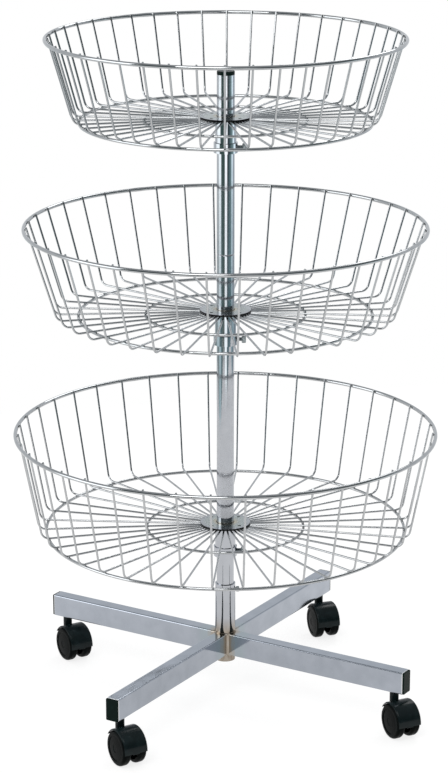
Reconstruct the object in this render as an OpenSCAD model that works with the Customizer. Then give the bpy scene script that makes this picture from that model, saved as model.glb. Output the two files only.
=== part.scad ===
// Three-tier round wire display stand on casters.
// Three flared wire baskets turn on collars that clamp to a two-piece tube pole. The pole stands in a
// socket with four legs, and each leg rides on a hooded twin-wheel caster.
// Millimetres. The origin is on the pole's axis at the floor, +Z is up and -Y is the front.

/* [Pole] */
// Outer diameter of the pole's tubes
pole_d = 25; // [22:0.5:27]
// Wall of the pole's tubes
pole_wall = 1.5; // [1:0.1:2.5]
// Height of the upper tube's end above the floor
pole_top = 915; // [905:1:980]
// Height of the joint between the two tubes
pole_joint = 661; // [640:1:700]
// Length of the spigot that joins the two tubes
spigot_len = 80; // [50:1:110]
// Height of the pole cap above the tube
cap_h = 5; // [3:0.5:10]

/* [Basket wire] */
// Diameter of the bent basket wires
wire_d = 3; // [2.5:0.1:3.4]
// Diameter of the rim wire
rim_wire_d = 5.5; // [4.5:0.1:6.5]
// Diameter of the ring wire under the edge of each floor
base_wire_d = 4.5; // [3.5:0.1:5.5]
// Diameter of the ring wire under the middle of each floor
inner_wire_d = 4; // [3:0.1:5]
// Bend radius of each wire where the floor turns up into the wall
bend_r = 12; // [8:0.5:18]
// Height of the wire tips above the rim
tip_over = 0.5; // [0.5:0.5:4]

/* [Top basket] */
// Radius of the top rim, to the middle of its wire
top_rim_r = 248.5; // [240:0.5:262]
// Radius at which the top basket's wall meets its floor
top_corner_r = 212; // [205:1:222]
// How far the ring under the edge of the top floor lies in from the wall
top_ring_inset = 9; // [5:0.5:60]
// Height of the top rim above the floor
top_rim_z = 964.5; // [950:0.5:980]
// Height of the top basket's floor wires
top_floor_z = 853; // [840:1:860]
// Number of bent wires in the top basket
top_wires = 42; // [32:1:44]
// Turn of the top basket on the pole
top_turn = -1.2; // [-180:0.1:180]

/* [Middle basket] */
// Radius of the middle rim, to the middle of its wire
middle_rim_r = 282.5; // [270:0.5:290]
// Radius at which the middle basket's wall meets its floor
middle_corner_r = 240; // [225:1:250]
// How far the ring under the edge of the middle floor lies in from the wall
middle_ring_inset = 32.5; // [5:0.5:60]
// Height of the middle rim above the floor
middle_rim_z = 699.5; // [685:0.5:715]
// Height of the middle basket's floor wires
middle_floor_z = 577; // [565:1:590]
// Number of bent wires in the middle basket
middle_wires = 40; // [32:1:44]
// Turn of the middle basket on the pole
middle_turn = -0.9; // [-180:0.1:180]

/* [Bottom basket] */
// Radius of the bottom rim, to the middle of its wire
bottom_rim_r = 300; // [290:1:312]
// Radius at which the bottom basket's wall meets its floor
bottom_corner_r = 268; // [258:1:278]
// How far the ring under the edge of the bottom floor lies in from the wall
bottom_ring_inset = 10; // [5:0.5:60]
// Height of the bottom rim above the floor
bottom_rim_z = 401; // [390:0.5:415]
// Height of the bottom basket's floor wires
bottom_floor_z = 260; // [255:1:275]
// Number of bent wires in the bottom basket
bottom_wires = 40; // [32:1:44]
// Turn of the bottom basket on the pole
bottom_turn = 0.5; // [-180:0.1:180]

/* [Hubs and collars] */
// Radius of the ring under the middle of each floor
inner_ring_r = 113; // [80:1:140]
// Radius of the hub plates
plate_r = 36.5; // [32:0.5:42]
// Thickness of the hub plates
plate_t = 2.5; // [1.5:0.1:4]
// Radius at which the floor wires end under the hub plate
spoke_end_r = 24; // [23.5:0.5:28]
// Wall of the hub sleeve
sleeve_wall = 2.4; // [1.5:0.1:4]
// Length of the sleeve below the floor wires
sleeve_drop = 33; // [25:1:38]
// Wall of the support collar
collar_wall = 4.4; // [3.5:0.1:6]
// Height of the support collar
collar_h = 14; // [12:0.5:16]
// Thread diameter of the collar screws
screw_d = 6; // [4:0.5:7]
// Direction in which all the screws point
screw_turn = -13; // [-180:1:180]

/* [Base] */
// Wall of the socket tube that holds the pole
socket_wall = 2.15; // [1.6:0.05:3.5]
// Length of the socket tube above the legs
socket_rise = 75; // [50:1:85]
// Length of the socket tube below the legs
socket_drop = 10; // [5:1:25]
// Reach of each leg from the pole's axis, with its end cap
leg_reach = 300; // [270:1:340]
// Height of a leg's tube
leg_h = 33; // [25:0.5:40]
// Width of a leg's tube
leg_w = 20; // [16:0.5:22]
// Wall of a leg's tube
leg_wall = 1.5; // [1:0.1:2.5]

/* [Casters] */
// How far each caster's stem lies in from the leg's end
stem_inset = 20; // [18:1:45]
// Diameter of the caster wheels
wheel_d = 50; // [44:1:60]
// Width of one wheel
wheel_w = 13; // [11:0.5:16]
// Distance from the stem's axis to the axle
trail = 19; // [17:0.5:24]
// Direction in which the front left caster trails
front_left_trail = -72; // [-180:1:180]
// Direction in which the front right caster trails
front_right_trail = -77; // [-180:1:180]
// Direction in which the back left caster trails
back_left_trail = -72; // [-180:1:180]
// Direction in which the back right caster trails
back_right_trail = -84; // [-180:1:180]
// Diameter of the neck round the stem
neck_d = 13; // [11.5:0.5:16]
// Height of the neck above the hood
neck_rise = 7.5; // [6:0.5:16]

/* [Hidden] */

// Facets of wires, of turned pieces and of large rings
wire_fn = 48;
turned_fn = 64;
ring_fn = 120;

// Colours
chrome = "silver";
steel = "lightgray";
black = "#1c1d1f";

// Clearances: running fits, weld gaps, seats of inserts and play over a moving face
run_gap = 0.05;
weld_gap = 0.05;
insert_gap = 0.1;
face_gap = 0.3;
// Overlap that makes a cut clean
cut = 1;
// Extra radius of the knuckles in a bent wire, and how far short of them its straight runs stop
knuckle_over = 0.05;
knuckle_gap = 0.1;

// Legs point along the diagonals
turn_front_left = -135;
turn_front_right = -45;
turn_back_left = 135;
turn_back_right = 45;
function trail_turn(az) =
  lookup(az, [
    [turn_front_left, front_left_trail], [turn_front_right, front_right_trail],
    [turn_back_right, back_right_trail], [turn_back_left, back_left_trail]
  ]);

// Casters
wheel_r = wheel_d / 2;
hood_gap = 1.2;
hood_t = 1.8;
hood_in_r = wheel_r + hood_gap;
hood_mid_r = hood_in_r + hood_t / 2;
hood_r = hood_in_r + hood_t;
hood_back_turn = -3;
hood_span = 150;
web_t = 10;
web_floor_z = wheel_r * 0.9;
wheel_gap = 0.5;
axle_d = 5;
axle_in_wheel = 10.5;
boss_d = 15;
tread_t = 5;
hub_r = 6.5;
face_t = 3;
round_r = 4;
wheel_rim_t = 7;
dish_t = 0.8;
wheel_half_w = web_t / 2 + wheel_gap + wheel_w;
neck_top_z = wheel_r + hood_r + neck_rise;
stem_pin_d = 6;
stem_pin_len = 25;
stem_flange_d = 12;
stem_flange_t = 1.2;
stem_shank_d = 8;
stem_shank_len = 24;

// Legs and socket
stem_reach = leg_reach - stem_inset;
leg_under_z = neck_top_z + face_gap + stem_flange_t;
leg_over_z = leg_under_z + leg_h;
leg_corner_r = 2;
leg_cap_t = 2;
leg_plug_len = 8;
caster_socket_len = 16;
socket_r = pole_d / 2 + insert_gap + socket_wall;
socket_low_z = leg_under_z - socket_drop;
socket_high_z = leg_over_z + socket_rise;
socket_floor_t = 3;
pole_foot_z = socket_low_z + socket_floor_t;
socket_screw_d = 5;
socket_screw_head_d = 8;
socket_screw_head_h = 4.5;
socket_screw_drop = 10;
socket_screw_shank = 1;
socket_screw_z = socket_high_z - socket_screw_drop;

// Pole
pole_r = pole_d / 2;
pole_in_r = pole_r - pole_wall;
cap_plug_len = 14;
cap_round_r = 1.5;
spigot_wall = 1.5;

// Hubs and collars
bore_r = pole_r + run_gap;
sleeve_r = bore_r + sleeve_wall;
collar_r = bore_r + collar_wall;
edge_cut = 0.6;
plate_play = 0.7;
plate_hole_r = pole_r + plate_play;
plate_slot_count = 4;
plate_slot_d = 5;
plate_slot_shift = 2;
plate_slot_r = (plate_r + sleeve_r) / 2 + plate_slot_shift;
plate_slot_turn = 32;
thumb_head_d = 11;
thumb_head_h = 6;
thumb_neck = 6;
thumb_grooves = 10;
thumb_groove_d = 1.6;

// Each basket: rim radius, corner radius, base ring inset, rim height, floor height, wires, turn
top = [top_rim_r, top_corner_r, top_ring_inset, top_rim_z, top_floor_z, top_wires, top_turn];
middle = [
  middle_rim_r, middle_corner_r, middle_ring_inset, middle_rim_z, middle_floor_z, middle_wires,
  middle_turn
];
bottom = [
  bottom_rim_r, bottom_corner_r, bottom_ring_inset, bottom_rim_z, bottom_floor_z, bottom_wires,
  bottom_turn
];
function rim_r(b) = b[0];
function corner_r(b) = b[1];
function base_r(b) = b[1] - b[2];
function rim_z(b) = b[3];
function floor_z(b) = b[4];
function wires(b) = b[5];
function turn(b) = b[6];

// Heights that follow from a basket's floor wires
function plate_under_z(b) = floor_z(b) + wire_d / 2 + weld_gap;
function sleeve_low_z(b) = floor_z(b) - sleeve_drop;
function collar_top_z(b) = sleeve_low_z(b) - run_gap;
function collar_low_z(b) = collar_top_z(b) - collar_h;

// Lean of a basket's wall from the vertical, with the wires lying against the inside of the rim
function rim_offset() = (rim_wire_d + wire_d) / 2 + weld_gap;
function wall_run(b) = rim_r(b) - corner_r(b);
function wall_rise(b) = rim_z(b) - floor_z(b);
function lean(b) = acos(rim_offset() / norm([wall_run(b), wall_rise(b)])) - atan2(wall_rise(b), wall_run(b));
function bend_end_z(b) = floor_z(b) + bend_r * (1 - sin(lean(b)));

// A ring of round wire
module wire_ring(r, z, d) {
  translate([0, 0, z])
    rotate_extrude($fn = ring_fn)
      translate([r, 0])
        circle(d = d, $fn = wire_fn);
}

// Ball that carries a straight run of wire into a bend, a hair thicker than the wire
module wire_knuckle() {
  sphere(d = wire_d + 2 * knuckle_over, $fn = wire_fn);
}

// One basket wire: a floor spoke, a bend and a sloping wall, in the plane Y = 0
module bent_wire(b) {
  bend_angle = 90 - lean(b);
  bend_start_r = corner_r(b) - bend_r * tan(bend_angle / 2);
  wall_len = (rim_z(b) + rim_wire_d / 2 + tip_over - bend_end_z(b)) / cos(lean(b));
  translate([spoke_end_r, 0, floor_z(b)])
    rotate([0, 90, 0])
      cylinder(h = bend_start_r - knuckle_gap - spoke_end_r, d = wire_d, $fn = wire_fn);
  translate([bend_start_r, 0, floor_z(b) + bend_r])
    rotate([90, 0, 0])
      rotate([0, 0, -90]) {
        rotate_extrude(angle = bend_angle, $fn = turned_fn)
          translate([bend_r, 0])
            circle(d = wire_d, $fn = wire_fn);
        translate([bend_r, 0])
          wire_knuckle();
        rotate([0, 0, bend_angle])
          translate([bend_r, 0]) {
            wire_knuckle();
            rotate([-90, 0, 0])
              translate([0, 0, knuckle_gap])
                cylinder(h = wall_len - knuckle_gap, d = wire_d, $fn = wire_fn);
          }
      }
}

module basket_rim(b) {
  wire_ring(rim_r(b), rim_z(b), rim_wire_d);
}

module basket_wire_cage(b) {
  for (i = [0 : wires(b) - 1])
    rotate([0, 0, turn(b) + i * 360 / wires(b)])
      bent_wire(b);
}

module basket_base_ring(b) {
  wire_ring(base_r(b), floor_z(b) - (wire_d + base_wire_d) / 2 - weld_gap, base_wire_d);
}

module basket_inner_ring(b) {
  wire_ring(inner_ring_r, floor_z(b) - (wire_d + inner_wire_d) / 2 - weld_gap, inner_wire_d);
}

// Round plate with chamfered rims and four drain holes
module basket_hub_plate(b) {
  translate([0, 0, plate_under_z(b)])
    difference() {
      rotate_extrude($fn = turned_fn)
        polygon([
          [plate_hole_r, 0], [plate_r, 0], [plate_r, plate_t - edge_cut],
          [plate_r - edge_cut, plate_t], [plate_hole_r + edge_cut, plate_t],
          [plate_hole_r, plate_t - edge_cut]
        ]);
      for (i = [0 : plate_slot_count - 1])
        rotate([0, 0, turn(b) + plate_slot_turn + i * 360 / plate_slot_count])
          translate([plate_slot_r, 0, -cut])
            cylinder(h = plate_t + 2 * cut, d = plate_slot_d, $fn = wire_fn);
    }
}

// Sleeve that turns on the pole, from the plate's underside down to the collar
module basket_hub_sleeve(b) {
  rotate_extrude($fn = turned_fn)
    polygon([
      [bore_r, sleeve_low_z(b)], [sleeve_r - edge_cut, sleeve_low_z(b)],
      [sleeve_r, sleeve_low_z(b) + edge_cut], [sleeve_r, plate_under_z(b) - weld_gap],
      [bore_r, plate_under_z(b) - weld_gap]
    ]);
}

// Collar that clamps to the pole, with a cross hole for its thumb screw
module support_collar(b) {
  low = collar_low_z(b);
  high = collar_top_z(b);
  difference() {
    rotate_extrude($fn = turned_fn)
      polygon([
        [bore_r, low], [collar_r - edge_cut, low], [collar_r, low + edge_cut],
        [collar_r, high - edge_cut], [collar_r - edge_cut, high], [bore_r, high]
      ]);
    rotate([0, 0, screw_turn])
      translate([pole_r - cut, 0, (low + high) / 2])
        rotate([0, 90, 0])
          cylinder(h = collar_wall + 2 * cut + run_gap, d = screw_d + 2 * run_gap, $fn = wire_fn);
  }
}

// Screw with a grooved head, its tip against the pole
module thumb_screw(b) {
  tip_r = pole_r + insert_gap;
  rotate([0, 0, screw_turn])
    translate([tip_r, 0, (collar_low_z(b) + collar_top_z(b)) / 2])
      rotate([0, 90, 0]) {
        cylinder(h = collar_wall + thumb_neck, d = screw_d, $fn = wire_fn);
        translate([0, 0, collar_wall + thumb_neck])
          linear_extrude(thumb_head_h)
            difference() {
              circle(d = thumb_head_d, $fn = wire_fn);
              for (i = [0 : thumb_grooves - 1])
                rotate(i * 360 / thumb_grooves)
                  translate([thumb_head_d / 2 + thumb_groove_d / 4, 0])
                    circle(d = thumb_groove_d, $fn = wire_fn);
            }
      }
}

// A tube of the pole between two heights
module pole_tube(low, high) {
  rotate_extrude($fn = turned_fn)
    translate([pole_in_r, low])
      square([pole_wall, high - low]);
}

// Rectangle with round corners, centred
module rounded_rectangle(w, h, r) {
  square([w - 2 * r, h], center = true);
  square([w, h - 2 * r], center = true);
  for (x = [-1, 1], y = [-1, 1])
    translate([x * (w / 2 - r), y * (h / 2 - r)])
      circle(r = r, $fn = wire_fn);
}

// Bar of a leg's cross-section along +X, shrunk by inset all round
module leg_bar(start, end, inset) {
  translate([start, 0, leg_under_z + leg_h / 2])
    rotate([90, 0, 90])
      linear_extrude(end - start)
        rounded_rectangle(leg_w - 2 * inset, leg_h - 2 * inset, leg_corner_r - min(inset, leg_corner_r / 2));
}

// Rectangular tube, coped round the socket and bored below for the caster's stem
module leg(az) {
  tube_end = leg_reach - leg_cap_t;
  rotate([0, 0, az])
    difference() {
      leg_bar(0, tube_end, 0);
      leg_bar(-cut, tube_end + cut, leg_wall);
      translate([0, 0, leg_under_z - cut])
        cylinder(h = leg_h + 2 * cut, r = socket_r + weld_gap, $fn = turned_fn);
      translate([stem_reach, 0, leg_under_z - cut])
        cylinder(h = leg_wall + 2 * cut, d = stem_shank_d + 2 * insert_gap, $fn = wire_fn);
    }
}

// End cap: a flange over the tube's end and a plug inside it
module leg_cap(az) {
  tube_end = leg_reach - leg_cap_t;
  rotate([0, 0, az]) {
    leg_bar(tube_end, leg_reach, 0);
    leg_bar(tube_end - leg_plug_len, tube_end, leg_wall + insert_gap);
  }
}

// Block inside a leg that grips the caster's stem
module caster_socket(az) {
  rotate([0, 0, az])
    difference() {
      leg_bar(
        stem_reach - caster_socket_len / 2, stem_reach + caster_socket_len / 2, leg_wall + insert_gap
      );
      translate([stem_reach, 0, leg_under_z])
        cylinder(h = leg_h, d = stem_shank_d + 2 * run_gap, $fn = wire_fn);
    }
}

// Places a caster's piece: the stem's axis at the origin, +X towards the wheels
module at_caster(az) {
  rotate([0, 0, az])
    translate([stem_reach, 0, 0])
      rotate([0, 0, trail_turn(az) - az])
        children();
}

// Stem: a shank in the leg, a flange under it and a pin in the caster's neck
module caster_stem(az) {
  flange_z = neck_top_z + face_gap;
  at_caster(az)
    rotate_extrude($fn = turned_fn)
      polygon([
        [0, neck_top_z - stem_pin_len], [stem_pin_d / 2 - edge_cut, neck_top_z - stem_pin_len],
        [stem_pin_d / 2, neck_top_z - stem_pin_len + edge_cut], [stem_pin_d / 2, flange_z],
        [stem_flange_d / 2, flange_z], [stem_flange_d / 2, leg_under_z],
        [stem_shank_d / 2, leg_under_z], [stem_shank_d / 2, leg_under_z + stem_shank_len - edge_cut],
        [stem_shank_d / 2 - edge_cut, leg_under_z + stem_shank_len],
        [0, leg_under_z + stem_shank_len]
      ]);
}

// Places a piece that is turned about the axle, which then runs along the piece's own Z
module at_axle(az) {
  at_caster(az)
    translate([trail, 0, wheel_r])
      rotate([90, 0, 0])
        children();
}

// Caster body: hood over both wheels, web between them, axle boss and neck
module caster_body(az) {
  difference() {
    union() {
      at_axle(az) {
        rotate([0, 0, hood_back_turn])
          rotate_extrude(angle = hood_span, $fn = ring_fn)
            translate([hood_in_r, -wheel_half_w])
              square([hood_t, 2 * wheel_half_w]);
        linear_extrude(web_t, center = true)
          difference() {
            circle(r = hood_mid_r, $fn = ring_fn);
            translate([-hood_r - cut, -hood_r - cut])
              square([2 * (hood_r + cut), hood_r + cut - (wheel_r - web_floor_z)]);
          }
        linear_extrude(web_t, center = true)
          circle(d = boss_d, $fn = turned_fn);
      }
      difference() {
        at_caster(az)
          translate([0, 0, wheel_r])
            cylinder(h = neck_top_z - wheel_r, d = neck_d, $fn = turned_fn);
        at_axle(az)
          cylinder(h = 2 * neck_d, r = hood_mid_r, center = true, $fn = ring_fn);
      }
    }
    at_axle(az)
      cylinder(h = 2 * wheel_half_w, d = axle_d + 2 * run_gap, center = true, $fn = wire_fn);
    at_caster(az)
      translate([0, 0, neck_top_z - stem_pin_len - face_gap])
        cylinder(h = stem_pin_len + face_gap + cut, d = stem_pin_d + 2 * run_gap, $fn = wire_fn);
  }
}

module caster_axle(az) {
  half = web_t / 2 + wheel_gap + axle_in_wheel - face_gap;
  at_axle(az)
    cylinder(h = 2 * half, d = axle_d, center = true, $fn = wire_fn);
}

// Wheel with a dished face, a hollow back, a hub and a blind bore; side is 1 or -1 along the axle
module caster_wheel(az, side) {
  dish_r = wheel_r - wheel_rim_t;
  at_axle(az)
    rotate([side > 0 ? 0 : 180, 0, 0])
      translate([0, 0, web_t / 2 + wheel_gap])
        rotate_extrude($fn = turned_fn)
          difference() {
            union() {
              square([wheel_r - round_r, wheel_w]);
              translate([0, round_r])
                square([wheel_r, wheel_w - 2 * round_r]);
              for (z = [round_r, wheel_w - round_r])
                translate([wheel_r - round_r, z])
                  circle(r = round_r, $fn = wire_fn);
            }
            translate([hub_r, -cut])
              square([wheel_r - tread_t - hub_r, wheel_w - face_t + cut]);
            translate([-cut, -cut])
              square([cut + axle_d / 2 + run_gap, axle_in_wheel + cut]);
            translate([-cut, wheel_w - dish_t])
              square([cut + dish_r, dish_t + cut]);
          }
}

// Socket: a tube with a floor that the pole stands on, and a cross hole for its screw
module base_socket() {
  color(chrome)
    difference() {
      rotate_extrude($fn = turned_fn)
        polygon([
          [0, socket_low_z], [socket_r - edge_cut, socket_low_z], [socket_r, socket_low_z + edge_cut],
          [socket_r, socket_high_z - edge_cut], [socket_r - edge_cut, socket_high_z],
          [pole_r + insert_gap, socket_high_z], [pole_r + insert_gap, pole_foot_z], [0, pole_foot_z]
        ]);
      rotate([0, 0, screw_turn])
        translate([pole_r - cut, 0, socket_screw_z])
          rotate([0, 90, 0])
            cylinder(h = socket_wall + 2 * cut, d = socket_screw_d + 2 * run_gap, $fn = wire_fn);
    }
}

module socket_screw() {
  shank_len = socket_wall + socket_screw_shank;
  color(steel)
    rotate([0, 0, screw_turn])
      translate([pole_r + run_gap, 0, socket_screw_z])
        rotate([0, 90, 0]) {
          cylinder(h = shank_len, d = socket_screw_d, $fn = wire_fn);
          translate([0, 0, shank_len])
            cylinder(h = socket_screw_head_h, d = socket_screw_head_d, $fn = wire_fn);
        }
}

module leg_front_left() { color(chrome) leg(turn_front_left); }
module leg_front_right() { color(chrome) leg(turn_front_right); }
module leg_back_left() { color(chrome) leg(turn_back_left); }
module leg_back_right() { color(chrome) leg(turn_back_right); }

module leg_cap_front_left() { color(black) leg_cap(turn_front_left); }
module leg_cap_front_right() { color(black) leg_cap(turn_front_right); }
module leg_cap_back_left() { color(black) leg_cap(turn_back_left); }
module leg_cap_back_right() { color(black) leg_cap(turn_back_right); }

module caster_sockets() {
  color(black)
    for (az = [turn_front_left, turn_front_right, turn_back_left, turn_back_right])
      caster_socket(az);
}

module pole_lower() { color(chrome) pole_tube(pole_foot_z, pole_joint); }
module pole_upper() { color(chrome) pole_tube(pole_joint, pole_top); }

// Tube inside the pole, across its joint
module pole_spigot() {
  spigot_r = pole_in_r - run_gap;
  color(steel)
    rotate_extrude($fn = turned_fn)
      translate([spigot_r - spigot_wall, pole_joint - spigot_len / 2])
        square([spigot_wall, spigot_len]);
}

// Flat cap with a rounded edge and a plug
module pole_cap() {
  color(black)
    rotate_extrude($fn = turned_fn) {
      translate([0, pole_top - cap_plug_len])
        square([pole_in_r - insert_gap, cap_plug_len]);
      translate([0, pole_top])
        square([pole_r, cap_h - cap_round_r]);
      translate([0, pole_top])
        square([pole_r - cap_round_r, cap_h]);
      translate([pole_r - cap_round_r, pole_top + cap_h - cap_round_r])
        circle(r = cap_round_r, $fn = wire_fn);
    }
}

module top_rim() { color(chrome) basket_rim(top); }
module top_wire_cage() { color(chrome) basket_wire_cage(top); }
module top_base_ring() { color(chrome) basket_base_ring(top); }
module top_inner_ring() { color(chrome) basket_inner_ring(top); }
module top_hub_plate() { color(chrome) basket_hub_plate(top); }
module top_hub_sleeve() { color(chrome) basket_hub_sleeve(top); }

module middle_rim() { color(chrome) basket_rim(middle); }
module middle_wire_cage() { color(chrome) basket_wire_cage(middle); }
module middle_base_ring() { color(chrome) basket_base_ring(middle); }
module middle_inner_ring() { color(chrome) basket_inner_ring(middle); }
module middle_hub_plate() { color(chrome) basket_hub_plate(middle); }
module middle_hub_sleeve() { color(chrome) basket_hub_sleeve(middle); }

module bottom_rim() { color(chrome) basket_rim(bottom); }
module bottom_wire_cage() { color(chrome) basket_wire_cage(bottom); }
module bottom_base_ring() { color(chrome) basket_base_ring(bottom); }
module bottom_inner_ring() { color(chrome) basket_inner_ring(bottom); }
module bottom_hub_plate() { color(chrome) basket_hub_plate(bottom); }
module bottom_hub_sleeve() { color(chrome) basket_hub_sleeve(bottom); }

module top_collar() { color(chrome) support_collar(top); }
module middle_collar() { color(chrome) support_collar(middle); }
module bottom_collar() { color(chrome) support_collar(bottom); }

module top_thumb_screw() { color(steel) thumb_screw(top); }
module middle_thumb_screw() { color(steel) thumb_screw(middle); }
module bottom_thumb_screw() { color(steel) thumb_screw(bottom); }

module caster_stem_front_left() { color(steel) caster_stem(turn_front_left); }
module caster_stem_front_right() { color(steel) caster_stem(turn_front_right); }
module caster_stem_back_left() { color(steel) caster_stem(turn_back_left); }
module caster_stem_back_right() { color(steel) caster_stem(turn_back_right); }

module caster_body_front_left() { color(black) caster_body(turn_front_left); }
module caster_body_front_right() { color(black) caster_body(turn_front_right); }
module caster_body_back_left() { color(black) caster_body(turn_back_left); }
module caster_body_back_right() { color(black) caster_body(turn_back_right); }

module caster_axle_front_left() { color(steel) caster_axle(turn_front_left); }
module caster_axle_front_right() { color(steel) caster_axle(turn_front_right); }
module caster_axle_back_left() { color(steel) caster_axle(turn_back_left); }
module caster_axle_back_right() { color(steel) caster_axle(turn_back_right); }

module wheel_a_front_left() { color(black) caster_wheel(turn_front_left, 1); }
module wheel_a_front_right() { color(black) caster_wheel(turn_front_right, 1); }
module wheel_a_back_left() { color(black) caster_wheel(turn_back_left, 1); }
module wheel_a_back_right() { color(black) caster_wheel(turn_back_right, 1); }
module wheel_b_front_left() { color(black) caster_wheel(turn_front_left, -1); }
module wheel_b_front_right() { color(black) caster_wheel(turn_front_right, -1); }
module wheel_b_back_left() { color(black) caster_wheel(turn_back_left, -1); }
module wheel_b_back_right() { color(black) caster_wheel(turn_back_right, -1); }

base_socket();
leg_front_left();
leg_front_right();
leg_back_left();
leg_back_right();
leg_cap_front_left();
leg_cap_front_right();
leg_cap_back_left();
leg_cap_back_right();
caster_sockets();
socket_screw();
pole_lower();
pole_spigot();
pole_upper();
pole_cap();
top_rim();
top_wire_cage();
top_base_ring();
top_inner_ring();
top_hub_plate();
top_hub_sleeve();
middle_rim();
middle_wire_cage();
middle_base_ring();
middle_inner_ring();
middle_hub_plate();
middle_hub_sleeve();
bottom_rim();
bottom_wire_cage();
bottom_base_ring();
bottom_inner_ring();
bottom_hub_plate();
bottom_hub_sleeve();
top_collar();
middle_collar();
bottom_collar();
top_thumb_screw();
middle_thumb_screw();
bottom_thumb_screw();
caster_stem_front_left();
caster_stem_front_right();
caster_stem_back_left();
caster_stem_back_right();
caster_body_front_left();
caster_body_front_right();
caster_body_back_left();
caster_body_back_right();
caster_axle_front_left();
caster_axle_front_right();
caster_axle_back_left();
caster_axle_back_right();
wheel_a_front_left();
wheel_a_front_right();
wheel_a_back_left();
wheel_a_back_right();
wheel_b_front_left();
wheel_b_front_right();
wheel_b_back_left();
wheel_b_back_right();
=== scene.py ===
"""Dresses the three-tier wire basket stand: bright chrome wires, tubes and legs, black caps and casters.

Lengths are in metres, in the part's own frame: the pole's axis meets the floor at the origin, +Z is up and
-Y is the front. Each piece is fitted over the solid that it stands for, and rides on that solid's body.
"""

import logging
import math
from collections.abc import Callable, Iterator, Sequence
from contextlib import contextmanager
from dataclasses import dataclass, field
from enum import Enum

import bmesh
import bpy
from mathutils import Matrix, Vector


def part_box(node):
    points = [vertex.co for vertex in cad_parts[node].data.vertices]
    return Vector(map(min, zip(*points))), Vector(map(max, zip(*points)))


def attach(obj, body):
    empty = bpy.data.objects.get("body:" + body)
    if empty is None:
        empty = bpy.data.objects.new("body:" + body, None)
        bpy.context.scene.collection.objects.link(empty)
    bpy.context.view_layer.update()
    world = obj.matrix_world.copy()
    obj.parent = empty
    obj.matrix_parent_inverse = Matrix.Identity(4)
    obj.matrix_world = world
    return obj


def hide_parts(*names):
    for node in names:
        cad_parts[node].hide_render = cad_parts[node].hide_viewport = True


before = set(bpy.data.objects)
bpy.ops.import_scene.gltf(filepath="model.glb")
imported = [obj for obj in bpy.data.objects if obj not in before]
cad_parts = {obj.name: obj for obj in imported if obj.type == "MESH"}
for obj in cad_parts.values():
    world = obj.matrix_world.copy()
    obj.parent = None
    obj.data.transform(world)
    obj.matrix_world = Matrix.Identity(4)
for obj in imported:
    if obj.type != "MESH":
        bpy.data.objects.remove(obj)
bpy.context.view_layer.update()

log = logging.getLogger("basket_stand")

Piece = bpy.types.Object
Socket = bpy.types.NodeSocket
Outline = Sequence[tuple[float, float]]
Colour = tuple[float, float, float]
Stops = Sequence[tuple[float, Colour]]
Feed = Socket | float | Sequence[float]

MM = 0.001


# Bench work -----------------------------------------------------------------------------------------------


@dataclass(frozen=True)
class Span:
    """How far a solid reaches: its radius about the pole's axis, its lowest height and its highest."""

    r: float
    low: float
    high: float

    @property
    def rise(self) -> float:
        """The solid's height."""
        return self.high - self.low

    @property
    def middle(self) -> float:
        """The height of the solid's middle."""
        return (self.low + self.high) / 2


def span(node: str) -> Span:
    """Measures a solid of the frame that stands round the pole's axis."""
    low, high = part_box(node)
    return Span(max(high.x, high.y, -low.x, -low.y), low.z, high.z)


def round_z(angle: float) -> Matrix:
    """Turns about Z by an angle in degrees."""
    return Matrix.Rotation(math.radians(angle), 4, "Z")


def azimuth(point: Vector) -> float:
    """The direction of a point about the pole's axis, in degrees."""
    return math.degrees(math.atan2(point.y, point.x))


class Element(Enum):
    """What is picked in edit mode: corners, edges or faces."""

    CORNER = "verts"
    EDGE = "edges"
    FACE = "faces"


def put_down() -> None:
    """Deselects every object, so that the next operator touches only what is picked after it."""
    bpy.ops.object.select_all(action="DESELECT")


def take(*pieces: Piece) -> None:
    """Selects these pieces alone and makes the first one active."""
    put_down()
    for piece in pieces:
        piece.select_set(True)
    bpy.context.view_layer.objects.active = pieces[0]


def named(name: str) -> Piece:
    """Names the piece that was just added, and its mesh.

    Args:
        name: The piece's new name.

    Returns:
        The piece.
    """
    piece = bpy.context.object
    piece.name = name
    piece.data.name = name
    return piece


@contextmanager
def editing(piece: Piece) -> Iterator[None]:
    """Opens a piece in edit mode with everything selected, and closes it again.

    Args:
        piece: The piece to edit.
    """
    take(piece)
    bpy.ops.object.mode_set(mode="EDIT")
    bpy.ops.mesh.select_all(action="SELECT")
    yield
    bpy.ops.object.mode_set(mode="OBJECT")


def pick(piece: Piece, element: Element, test: Callable[[Vector], bool]) -> None:
    """Selects, in edit mode, the elements whose middle passes a test.

    Args:
        piece: The piece in edit mode.
        element: Corners, edges or faces.
        test: Takes the element's middle in the part's frame and says whether it is picked.
    """
    kinds = tuple(element is kind for kind in Element)
    bpy.ops.mesh.select_all(action="DESELECT")
    bpy.context.tool_settings.mesh_select_mode = kinds
    mesh = bmesh.from_edit_mesh(piece.data)
    place = piece.matrix_world
    for item in getattr(mesh, element.value):
        if element is Element.CORNER:
            middle = item.co
        else:
            middle = sum((v.co for v in item.verts), Vector()) / len(item.verts)
        if test(place @ middle):
            item.select_set(True)
    mesh.select_flush_mode()
    bmesh.update_edit_mesh(piece.data)


def settle(piece: Piece) -> None:
    """Moves a piece's place into its mesh, so that its object sits at the origin, unturned and unscaled."""
    take(piece)
    bpy.ops.object.transform_apply(location=True, rotation=True, scale=True)


def lay(piece: Piece, place: Matrix) -> None:
    """Lays a piece that was modelled at the origin at its place.

    Args:
        piece: The piece.
        place: Where it goes, in the part's frame.
    """
    piece.matrix_world = place
    bpy.context.view_layer.update()
    settle(piece)


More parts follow.
